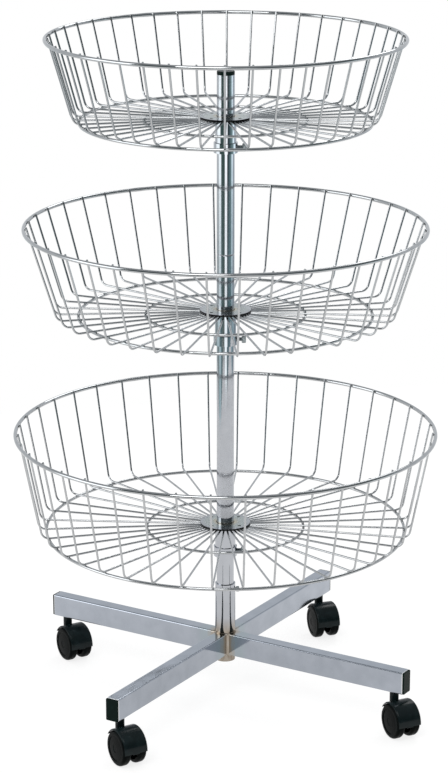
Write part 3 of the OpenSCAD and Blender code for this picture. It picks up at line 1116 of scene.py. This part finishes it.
@dataclass
class Base:
    """The base: a socket tube for the pole, four legs of rectangular tube welded to it, and their caps."""

    body: str = "base"
    reach: float = 300 * MM
    leg_w: float = 20 * MM
    leg_wall: float = 1.5 * MM
    leg_corner: float = 2 * MM
    leg_edge: float = 0.4 * MM
    cap_t: float = 2.6 * MM
    cap_inset: float = 0.4 * MM
    plug: float = 8 * MM
    plug_gap: float = 0.1 * MM
    plug_nose: tuple[float, float] = (0.88, 0.93)
    stem_r: float = 280 * MM
    stem_hole_r: float = 4.1 * MM
    bore_r: float = 12.6 * MM
    edge: float = 0.6 * MM
    weld_gap: float = 0.05 * MM
    bead: float = 1.4 * MM
    screw_turn: float = -13.0
    screw_z: float = 160 * MM
    screw_r: float = 2.5 * MM
    screw_head_r: float = 4 * MM
    screw_head_h: float = 4.5 * MM
    screw_edge: float = 0.4 * MM
    hexagon_r: float = 2 * MM
    hexagon_deep: float = 2.2 * MM
    near: float = 0.1 * MM
    height: Span = field(init=False)
    socket: Span = field(init=False)

    def __post_init__(self) -> None:
        """Reads the legs' heights and the socket's from the frame."""
        self.height = span("leg_front_left")
        self.socket = span("base_socket")

    def build(self) -> None:
        """Builds and dresses the base."""
        self.socket_tube()
        self.set_screw()
        leg, bead, cap = self.leg(), self.weld_bead(), self.leg_cap()
        for quarter in Quarter:
            for master, name, finish, nodes in (
                (leg, "leg_tube", Finish.SATIN_CHROME, (f"leg_{quarter.side}",)),
                (bead, "leg_weld", Finish.SATIN_CHROME, ()),
                (cap, "leg_plug", Finish.CAP, (f"leg_cap_{quarter.side}",)),
            ):
                piece = copied(master, f"{name}_{quarter.side}")
                lay(piece, quarter.turn)
                fit(piece, self.body, finish, *nodes)
        for master in (leg, bead, cap):
            bpy.data.meshes.remove(master.data)
        dress("caster_sockets", Finish.CAP)

    def bar(self, name: str, start: float, end: float, inset: float) -> Piece:
        """Makes a solid bar of the leg's cross-section along +X, with its four long edges rounded.

        Args:
            name: The bar's name.
            start: Where it starts.
            end: Where it ends.
            inset: How far each side lies inside the leg's own; below zero it lies outside.

        Returns:
            The bar.
        """
        middle = (start + end) / 2
        put_down()
        bpy.ops.mesh.primitive_cube_add(
            size=1,
            location=(middle, 0, self.height.middle),
            scale=(end - start, self.leg_w - 2 * inset, self.height.rise - 2 * inset),
        )
        bar = named(name)
        settle(bar)
        with editing(bar):
            pick(bar, Element.EDGE, lambda at: abs(at.x - middle) < self.near)
            bpy.ops.mesh.bevel(offset=max(self.leg_corner - inset, MM), segments=5, affect="EDGES")
        return bar

    def leg(self) -> Piece:
        """Makes a leg: a tube coped round the socket, with its stem hole below and its open end eased.

        Returns:
            The leg.
        """
        end, low, high = self.reach - self.cap_t, self.height.low - MM, self.height.high + MM
        leg = self.bar("leg", 0, end, 0)
        with editing(leg):
            pick(leg, Element.FACE, lambda at: at.x < self.near or at.x > end - self.near)
            bpy.ops.mesh.delete(type="ONLY_FACE")
        shape(leg, "SOLIDIFY", thickness=self.leg_wall, offset=-1, use_even_offset=True)
        combine(leg, upright("cope", self.socket.r + self.weld_gap, low, high, 96))
        combine(leg, upright("stem_hole", self.stem_hole_r, low, low + 4 * MM, 48, self.stem_r))
        with editing(leg):
            pick(leg, Element.EDGE, lambda at: at.x > end - self.near)
            bpy.ops.mesh.bevel(offset=self.leg_edge, segments=3, affect="EDGES")
        smooth(leg)
        return leg

    def weld_bead(self) -> Piece:
        """Makes the bead where a leg meets the socket: a rounded collar round the leg, of one thickness.

        Returns:
            The bead.
        """
        bead = self.bar("bead", self.socket.r / 2, self.socket.r + 4 * MM, -self.bead)
        low, high = self.height.low - 5 * MM, self.height.high + 5 * MM
        combine(bead, upright("outside", self.socket.r + self.bead, low, high, 96), "INTERSECT")
        combine(bead, upright("inside", self.socket.r - 0.2 * MM, low, high, 96))
        ease_edges(bead, 0.9 * self.bead, 4, 50)
        smooth(bead)
        return bead

    def leg_cap(self) -> Piece:
        """Makes a leg's cap: a thin flange that leaves the tube's edge in sight, and a plug with a lead-in.

        Returns:
            The cap.
        """
        end = self.reach - self.cap_t
        nose = end - self.plug
        flange = self.bar("flange", end + 0.02 * MM, self.reach, self.cap_inset)
        ease_edges(flange, 0.6 * MM, 3, 50)
        plug = self.bar("plug", nose, end, self.leg_wall + self.plug_gap)
        with editing(plug):
            pick(plug, Element.FACE, lambda at: at.x < nose + self.near)
            bpy.ops.transform.resize(
                value=(1, *self.plug_nose), center_override=(nose, 0, self.height.middle)
            )
        cap = joined("cap", [flange, plug])
        smooth(cap)
        return cap

    def socket_tube(self) -> None:
        """Turns the socket with the floor that the pole stands on, and drills its cross hole."""
        foot, socket = span("pole_lower").low, self.socket
        outline = (
            (socket.r - 2 * MM, socket.low),
            (socket.r, socket.low),
            (socket.r, socket.high),
            (self.bore_r, socket.high),
            (self.bore_r, foot),
        )
        tube = turned("socket_tube", outline, 128)
        drill_out(tube, self.screw_r + self.weld_gap, (self.bore_r, socket.r), self.screw_z, self.screw_turn)
        ease_edges(tube, self.edge)
        smooth(tube)
        fit(tube, self.body, Finish.WELDED_CHROME, "base_socket")

    def set_screw(self) -> None:
        """Turns the socket's screw: a round head with a hexagon socket, and its shank."""
        neck = self.socket.r - self.bore_r + MM
        top, head_r = neck + self.screw_head_h, self.screw_head_r
        outline = ((self.screw_r, 0), (self.screw_r, neck), (head_r, neck), (head_r, top))
        screw = turned("socket_set_screw", outline, 48)
        combine(screw, upright("key", self.hexagon_r, top - self.hexagon_deep, top + MM, 6))
        ease_edges(screw, self.screw_edge)
        lay(screw, pointing_out(self.screw_turn, self.bore_r, self.screw_z))
        smooth(screw)
        fit(screw, self.body, Finish.ZINC, "socket_screw")


# Casters --------------------------------------------------------------------------------------------------


@dataclass
class Caster:
    """A hooded twin-wheel caster, built once with its stem on Z and its wheels towards +X, and then copied."""

    stem_r: float = 280 * MM
    wheel_r: float = 25 * MM
    wheel_w: float = 13 * MM
    trail: float = 19 * MM
    hood_in_r: float = 26.2 * MM
    hood_t: float = 1.8 * MM
    hood_start: float = -3.0
    hood_span: float = 150.0
    hood_steps: int = 60
    hood_taper: int = 12
    hood_drop: float = 1.4 * MM
    hood_round: float = 4.2 * MM
    hood_edge: float = 0.2 * MM
    web_t: float = 10 * MM
    web_edge: float = 0.5 * MM
    wheel_gap: float = 0.5 * MM
    boss_r: float = 7.5 * MM
    axle_r: float = 2.5 * MM
    axle_lip: float = 0.4 * MM
    end_gap: float = 0.3 * MM
    neck_r: float = 6.5 * MM
    neck_top: float = 60.5 * MM
    neck_edge: float = 1.2 * MM
    pin_r: float = 3 * MM
    pin: float = 25 * MM
    flange_r: float = 6 * MM
    flange_t: float = 1.2 * MM
    flange_lip: float = 0.3 * MM
    shank_r: float = 4 * MM
    shank: float = 24 * MM
    nose: float = 0.6 * MM
    bore: float = 10.5 * MM
    hub_r: float = 6.5 * MM
    tread_t: float = 5 * MM
    tread_groove: float = 0.15 * MM
    face_t: float = 3 * MM
    shoulder: float = 4 * MM
    dish_r: float = 18 * MM
    dish: float = 0.8 * MM
    dish_lip: float = 0.4 * MM
    run_gap: float = 0.05 * MM

    @property
    def axle(self) -> Matrix:
        """The place of a piece that is turned about the axle, which then runs along the piece's Z."""
        return Matrix.Translation((self.trail, 0, self.wheel_r)) @ Matrix.Rotation(math.pi / 2, 4, "X")

    @property
    def half_w(self) -> float:
        """Half the width over both wheels."""
        return self.web_t / 2 + self.wheel_gap + self.wheel_w

    @property
    def middle_r(self) -> float:
        """The radius of the middle of the hood's wall."""
        return self.hood_in_r + self.hood_t / 2

    def build(self) -> None:
        """Builds the caster's pieces and copies them to the four legs."""
        masters = (
            (self.stem(), "stem", "base", "caster_stem_{}", Finish.ZINC),
            (self.body(), "hood", "caster_{}", "caster_body_{}", Finish.CASTER),
            (self.axle_pin(), "axle", "caster_{}", "caster_axle_{}", Finish.ZINC),
            (self.wheel(1), "wheel_near", "wheel_a_{}", "wheel_a_{}", Finish.TYRE),
            (self.wheel(-1), "wheel_far", "wheel_b_{}", "wheel_b_{}", Finish.TYRE),
        )
        for quarter in Quarter:
            out = Matrix.Translation((self.stem_r, 0, 0))
            place = quarter.turn @ out @ quarter.turn.inverted() @ quarter.trail
            for master, name, body, node, finish in masters:
                piece = copied(master, f"caster_{name}_{quarter.side}")
                lay(piece, place)
                fit(piece, body.format(quarter.side), finish, node.format(quarter.side))
        for master, *_ in masters:
            bpy.data.meshes.remove(master.data)

    def stem(self) -> Piece:
        """Turns the stem: a pin in the neck, a flange under the leg and a shank inside it.

        Returns:
            The stem.
        """
        pin_r, flange_r, shank_r = self.pin_r, self.flange_r, self.shank_r
        lip, nose = self.flange_lip, self.nose
        foot, low = self.neck_top - self.pin, self.neck_top + self.end_gap
        high, top = low + self.flange_t, low + self.flange_t + self.shank
        outline = (
            *((pin_r - nose, foot), (pin_r, foot + nose), (pin_r, low)),
            *((flange_r - lip, low), (flange_r, low + lip), (flange_r, high - lip), (flange_r - lip, high)),
            *((shank_r, high), (shank_r, top - nose), (shank_r - nose, top)),
        )
        stem = turned("stem", outline, 48)
        smooth(stem)
        return stem

    def axle_pin(self) -> Piece:
        """Turns the axle, with a chamfer at each end.

        Returns:
            The axle.
        """
        half, lip = self.web_t / 2 + self.wheel_gap + self.bore - self.end_gap, self.axle_lip
        r = self.axle_r
        axle = turned("axle", ((r - lip, -half), (r, lip - half), (r, half - lip), (r - lip, half)), 32)
        lay(axle, self.axle)
        smooth(axle)
        return axle

    def hood(self) -> Piece:
        """Makes the hood over both wheels: part of a drum, thinner towards its two ends, with rounded sides.

        Returns:
            The hood, about Z.
        """
        outer_r = self.hood_in_r + self.hood_t
        put_down()
        bpy.ops.mesh.primitive_plane_add(size=1, location=(self.middle_r, 0, 0), rotation=(math.pi / 2, 0, 0))
        hood = named("hood")
        hood.scale = (self.hood_t, 2 * self.half_w, 1)
        settle(hood)
        lay(hood, round_z(self.hood_start))
        with editing(hood):
            bpy.ops.mesh.spin(
                steps=self.hood_steps, angle=-math.radians(self.hood_span), center=(0, 0, 0), axis=(0, 0, 1)
            )
            bpy.ops.mesh.select_all(action="SELECT")
            bpy.ops.mesh.normals_make_consistent(inside=False)
        with editing(hood):
            for step in range(self.hood_taper):
                share = 1 - self.hood_drop * (1 - step / self.hood_taper) ** 2 / outer_r
                for edge in (step, self.hood_steps - step):
                    turn = self.hood_start + self.hood_span * edge / self.hood_steps
                    pick(
                        hood,
                        Element.CORNER,
                        lambda at: at.xy.length > self.middle_r and abs(azimuth(at) - turn) < 0.5,
                    )
                    bpy.ops.transform.resize(value=(share, share, 1), center_override=(0, 0, 0))
        corner, drum_r = self.hood_round, outer_r + 0.3 * MM
        top = arc((drum_r - corner, self.half_w - corner), corner, 0, 90)
        drum = turned("drum", [(r, -z) for r, z in reversed(top)] + top, 144)
        lay(drum, round_z(self.hood_start))
        combine(hood, drum, "INTERSECT")
        ease_edges(hood, self.hood_edge, 2, 50)
        return hood

    def web(self) -> Piece:
        """Makes the web between the wheels, with the axle's boss.

        Returns:
            The web, about Z.
        """
        half = self.web_t / 2
        web = upright("web", self.middle_r, -half, half, 96)
        with editing(web):
            bpy.ops.mesh.bisect(
                plane_co=(0, -0.1 * self.wheel_r, 0), plane_no=(0, 1, 0), use_fill=True, clear_inner=True
            )
        combine(web, upright("boss", self.boss_r, -half, half, 64), "UNION")
        ease_edges(web, self.web_edge, 3, 50)
        return web

    def body(self) -> Piece:
        """Joins the hood, the web and the neck, and bores them for the axle and the stem.

        Returns:
            The body.
        """
        hood, web = self.hood(), self.web()
        lay(hood, self.axle)
        lay(web, self.axle)
        edge, top = self.neck_edge, self.neck_top
        outline = (
            (self.neck_r, self.wheel_r + 0.5 * self.hood_in_r),
            (self.neck_r, top - edge),
            (self.neck_r - 0.35 * MM, top - 0.35 * MM),
            (self.neck_r - edge, top),
        )
        neck = turned("neck", outline, 64)
        at_axle, across = Vector((self.trail, 0, self.wheel_r)), Vector((0, self.half_w, 0))
        combine(neck, rod("wheel_room", self.middle_r, at_axle - across, at_axle + across, 96))
        combine(web, neck, "UNION")
        combine(hood, web, "UNION")
        combine(hood, rod("axle_hole", self.axle_r + self.run_gap, at_axle - across, at_axle + across, 48))
        pin_foot = top - self.pin - self.end_gap
        combine(hood, upright("pin_hole", self.pin_r + self.run_gap, pin_foot, top + MM, 48))
        smooth(hood, 30)
        return hood

    def wheel(self, side: int) -> Piece:
        """Turns a wheel: a hub with a blind bore, a hollow back, a rounded tread and a dished, ringed face.

        Args:
            side: 1 for the wheel on the axle frame's +Z side and -1 for the other.

        Returns:
            The wheel.
        """
        r, w, shoulder, lip = self.wheel_r, self.wheel_w, self.shoulder, self.dish_lip
        bore_r, dish_r, floor = self.axle_r + self.run_gap, self.dish_r, w - self.dish
        outline = (
            *((bore_r, self.bore), (bore_r, 0), (self.hub_r, 0), (self.hub_r, w - self.face_t)),
            *((r - self.tread_t, w - self.face_t), (r - self.tread_t, 0)),
            *arc((r - shoulder, shoulder), shoulder, -90, 0, 18),
            *((r, 0.47 * w), (r - self.tread_groove, 0.5 * w), (r, 0.53 * w)),
            *arc((r - shoulder, w - shoulder), shoulder, 0, 90, 18),
            *((dish_r + lip, w), (dish_r, w - lip), (dish_r, floor), (dish_r - 2 * lip, floor)),
            *((0.9 * dish_r, floor + 0.25 * MM), (0.6 * dish_r, floor + 0.55 * MM)),
            *((0.34 * dish_r, floor + 0.7 * MM), (0.32 * dish_r, floor + 0.35 * MM)),
            (0.2 * dish_r, floor + 0.4 * MM),
        )
        wheel = turned("wheel", outline, 96)
        place = self.axle @ Matrix.Rotation(math.pi * (side < 0), 4, "X")
        lay(wheel, place @ Matrix.Translation((0, 0, self.web_t / 2 + self.wheel_gap)))
        smooth(wheel)
        return wheel


# Studio ---------------------------------------------------------------------------------------------------


@dataclass
class Camera:
    """The camera: where it stands, where it looks and its lens."""

    place: tuple[float, float, float] = (-0.8611, -3.5216, 1.5269)
    heading: float = -13.7078
    pitch: float = -16.297
    roll: float = 0.06
    lens: float = 82.34
    sensor_height: float = 24.0
    far: float = 100.0

    def build(self) -> None:
        """Sets up the scene's camera."""
        data = bpy.data.cameras.new("camera")
        data.sensor_fit = "VERTICAL"
        data.sensor_height = self.sensor_height
        data.lens = self.lens
        data.clip_end = self.far
        camera = bpy.data.objects.new("camera", data)
        bpy.context.scene.collection.objects.link(camera)
        tilt = Matrix.Rotation(math.radians(90 + self.pitch), 4, "X")
        camera.matrix_world = (
            Matrix.Translation(self.place) @ round_z(self.heading) @ tilt @ round_z(self.roll)
        )
        bpy.context.scene.camera = camera


@dataclass
class Studio:
    """White paper to stand on, soft lamps, and the darker room round the paper that the chrome mirrors.

    The room's colours run over the direction about the vertical, from 0 to 1 with 0.5 towards the camera,
    or over the direction's height, from 0 straight down to 1 straight up. A band is given by its start, its
    end and how far it fades before and after them.
    """

    paper_half: float = 1.53
    paper_middle: tuple[float, float, float] = (0.16, -0.07, 0.0)
    paper_corner: float = 0.5
    paper_dark: Colour = (0.78, 0.78, 0.78)
    paper_light: Colour = (0.82, 0.82, 0.82)
    paper_rough: float = 0.9
    paper_albedo: Colour = (0.30, 0.30, 0.30)
    paper_glow: float = 0.80
    # Painted shadow: mirrors see the paper glow 0.80 near the middle, rising to 0.98 from 0.12 to 0.45 out.
    mirrored_glow_painted_shadow: tuple[float, float, float, float] = (0.80, 0.98, 0.12, 0.45)
    fibre_scale: float = 900.0
    ambient: float = 0.62
    facing: float = -103.7
    strips: Stops = (
        (0.0, (0.90, 0.92, 0.94)), (0.20, (0.78, 0.82, 0.83)),
        (0.24, (1.9, 2.0, 2.0)), (0.331, (1.9, 2.0, 2.0)),
        (0.334, (0.10, 0.15, 0.14)), (0.41, (0.067, 0.124, 0.110)), (0.460, (0.08, 0.145, 0.124)),
        (0.482, (2.0, 2.0, 2.0)), (0.540, (2.0, 2.0, 2.0)), (0.562, (0.043, 0.060, 0.067)),
        (0.60, (0.055, 0.085, 0.090)), (0.67, (0.23, 0.35, 0.36)), (0.715, (0.38, 0.53, 0.54)),
        (0.733, (1.5, 1.75, 1.85)), (0.772, (1.5, 1.75, 1.85)),
        (0.79, (0.55, 0.62, 0.68)), (1.0, (0.90, 0.92, 0.94)),
    )
    low_strips: Stops = (
        (0.0, (0.55, 0.60, 0.62)), (0.13, (0.60, 0.68, 0.70)),
        (0.16, (0.29, 0.36, 0.36)), (0.23, (0.28, 0.36, 0.36)),
        (0.27, (0.65, 0.84, 0.88)), (0.32, (0.60, 0.78, 0.82)),
        (0.35, (0.20, 0.31, 0.33)), (0.46, (0.11, 0.15, 0.13)),
        (0.485, (1.7, 1.8, 1.8)), (0.535, (1.7, 1.8, 1.8)),
        (0.56, (0.16, 0.24, 0.27)), (0.65, (0.19, 0.34, 0.37)),
        (0.70, (0.145, 0.27, 0.30)), (0.745, (0.40, 0.56, 0.62)),
        (0.80, (0.24, 0.32, 0.36)), (1.0, (0.50, 0.55, 0.60)),
    )
    low_heights: tuple[float, float] = (-0.27, -0.19)
    strip_heights: tuple[float, float, float, float] = (-0.31, -0.15, 0.05, 0.06)
    box_turns: tuple[float, float, float, float] = (0.235, 0.3315, 0.02, 0.0015)
    box_heights: tuple[float, float, float, float] = (-0.12, 0.52, 0.03, 0.08)
    box_white: Colour = (2.6, 2.65, 2.7)
    backdrop: Stops = (
        (0.0, (0.80, 0.81, 0.83)), (0.5, (0.74, 0.76, 0.79)),
        (0.72, (0.70, 0.73, 0.76)), (0.80, (0.45, 0.47, 0.49)),
        (1.0, (0.42, 0.44, 0.46)),
    )
    gloom: Stops = (
        (0.0, (0.80, 0.82, 0.84)), (0.28, (0.60, 0.63, 0.65)),
        (0.40, (0.12, 0.14, 0.15)), (0.60, (0.06, 0.075, 0.08)),
        (0.70, (0.08, 0.095, 0.10)), (0.86, (0.36, 0.38, 0.40)), (1.0, (0.42, 0.44, 0.46)),
    )
    gloom_turn: float = 8.0
    gloom_edge: tuple[float, float] = (-0.25, 0.08)
    lamp_aim: tuple[float, float, float] = (0.0, 0.0, 0.5)

    def build(self) -> None:
        """Builds the paper, the room and the lamps."""
        self.paper()
        self.room()
        self.lamp("lamp_key", Vector((-1.1, -1.9, 2.6)), 1.3, 26.0)
        self.lamp("lamp_back", Vector((1.2, 1.6, 2.3)), 0.9, 10.0)
        bpy.context.scene.view_settings.view_transform = "Standard"

    def paper(self) -> None:
        """Lays the sheet of paper with its corners rounded off, and a painted shadow under the stand in what
        mirrors see.
        """
        put_down()
        bpy.ops.mesh.primitive_plane_add(size=2 * self.paper_half, location=self.paper_middle)
        sheet = named("paper")
        with editing(sheet):
            bpy.ops.mesh.bevel(offset=self.paper_corner, segments=12, affect="VERTICES")
        settle(sheet)
        nodes = Nodes.surface("paper", Roughness=self.paper_rough)
        nodes.owner.cycles.emission_sampling = "NONE"
        plain = nodes.shader
        fibre = nodes.noise(nodes.place, self.fibre_scale)
        fibre_colour = nodes.ramp(fibre, ((0.3, self.paper_dark), (0.7, self.paper_light)))
        nodes.feed(fibre_colour, plain.inputs["Base Color"])
        matt = nodes.step("ShaderNodeBsdfDiffuse", "BSDF", {"Color": self.paper_albedo})
        glow = nodes.step("ShaderNodeEmission", "Emission", {"Strength": self.paper_glow})
        # Painted shadow: what mirrors see of the paper glows dimmer towards the middle, under the stand.
        glow_with_painted_shadow = nodes.spread(nodes.distance(nodes.place), *self.mirrored_glow_painted_shadow)
        mirrored = nodes.step("ShaderNodeEmission", "Emission", {"Strength": glow_with_painted_shadow})
        direct = nodes.step("ShaderNodeAddShader", "Shader", {0: matt, 1: glow})
        self.show(nodes, direct, mirrored, plain.outputs["BSDF"])
        sheet.data.materials.append(nodes.owner)

    def show(self, nodes: Nodes, direct: Socket, mirrored: Socket, plain: Socket) -> None:
        """Shows one shader to the camera, one to mirrors and glass and one to matt surfaces.

        Args:
            nodes: The tree.
            direct: What the camera sees.
            mirrored: What a mirror or glass shows.
            plain: What lights matt surfaces.
        """
        path = nodes.tree.nodes.new("ShaderNodeLightPath").outputs
        by_mirror = nodes.math("MAXIMUM", path["Is Glossy Ray"], path["Is Transmission Ray"])
        unseen = nodes.step("ShaderNodeMixShader", "Shader", {0: by_mirror, 1: plain, 2: mirrored})
        shown = nodes.step("ShaderNodeMixShader", "Shader", {0: path["Is Camera Ray"], 1: unseen, 2: direct})
        nodes.feed(shown, nodes.output.inputs["Surface"])

    def room(self) -> None:
        """Paints the room: white to the camera, dark with pale strips to chrome, plain to matt surfaces."""
        world = bpy.data.worlds.new("room")
        bpy.context.scene.world = world
        nodes = Nodes(world)
        world.cycles.sampling_method = "NONE"
        way = nodes.coordinates.outputs["Generated"]
        height = nodes.part(way, "Z")
        bearing = nodes.math("ARCTAN2", nodes.part(way, "Y"), nodes.part(way, "X"))
        turn = nodes.math("DIVIDE", bearing, math.tau)
        turn = nodes.math("FRACT", nodes.math("SUBTRACT", turn, self.facing / 360 - 1.5))
        steep = nodes.spread(height, 1.0, 0.0, *self.low_heights)
        banded = nodes.mixed(steep, nodes.ramp(turn, self.strips), nodes.ramp(turn, self.low_strips))
        front = round_z(self.facing + self.gloom_turn) @ Vector((1, 0, 0))
        ahead = nodes.step("ShaderNodeVectorMath", "Value", {0: way, 1: front}, operation="DOT_PRODUCT")
        near = nodes.spread(ahead, 0.0, 1.0, *self.gloom_edge)
        up = nodes.spread(height, 0.0, 1.0, -1.0, 1.0)
        soft = nodes.mixed(near, nodes.ramp(up, self.backdrop), nodes.ramp(up, self.gloom))
        box = nodes.math("MULTIPLY", nodes.band(turn, *self.box_turns), nodes.band(height, *self.box_heights))
        within = nodes.band(height, *self.strip_heights)
        colour = nodes.mixed(within, nodes.mixed(box, soft, self.box_white), banded)
        mirrored = nodes.step("ShaderNodeBackground", "Background", {"Color": colour})
        white = nodes.step("ShaderNodeBackground", "Background", {"Color": (1.0, 1.0, 1.0)})
        plain = nodes.shader
        nodes.feed((1.0, 1.0, 1.0), plain.inputs["Color"])
        nodes.feed(self.ambient, plain.inputs["Strength"])
        self.show(nodes, white, mirrored, plain.outputs["Background"])

    def lamp(self, name: str, place: Vector, size: float, power: float) -> None:
        """Hangs a square soft lamp that shines at the stand's middle.

        Args:
            name: The lamp's name.
            place: Where it hangs.
            size: Its side.
            power: Its power in watts.
        """
        data = bpy.data.lights.new(name, "AREA")
        data.size = size
        data.energy = power
        lamp = bpy.data.objects.new(name, data)
        bpy.context.scene.collection.objects.link(lamp)
        aim = Vector(self.lamp_aim) - place
        lamp.matrix_world = Matrix.Translation(place) @ aim.to_track_quat("-Z", "Y").to_matrix().to_4x4()
        lamp.visible_camera = False


def main() -> None:
    """Builds the stand and its studio."""
    Camera().build()
    Base().build()
    Pole().build()
    Basket(Tier.TOP, wires=42, turn=-1.2, corner_r=212 * MM).build()
    Basket(Tier.MIDDLE, wires=40, turn=-0.9, corner_r=240 * MM).build()
    Basket(Tier.BOTTOM, wires=40, turn=0.5, corner_r=268 * MM).build()
    Caster().build()
    Studio().build()


if __name__ == "__main__":
    logging.basicConfig(level=logging.INFO, format="%(message)s")
    main()
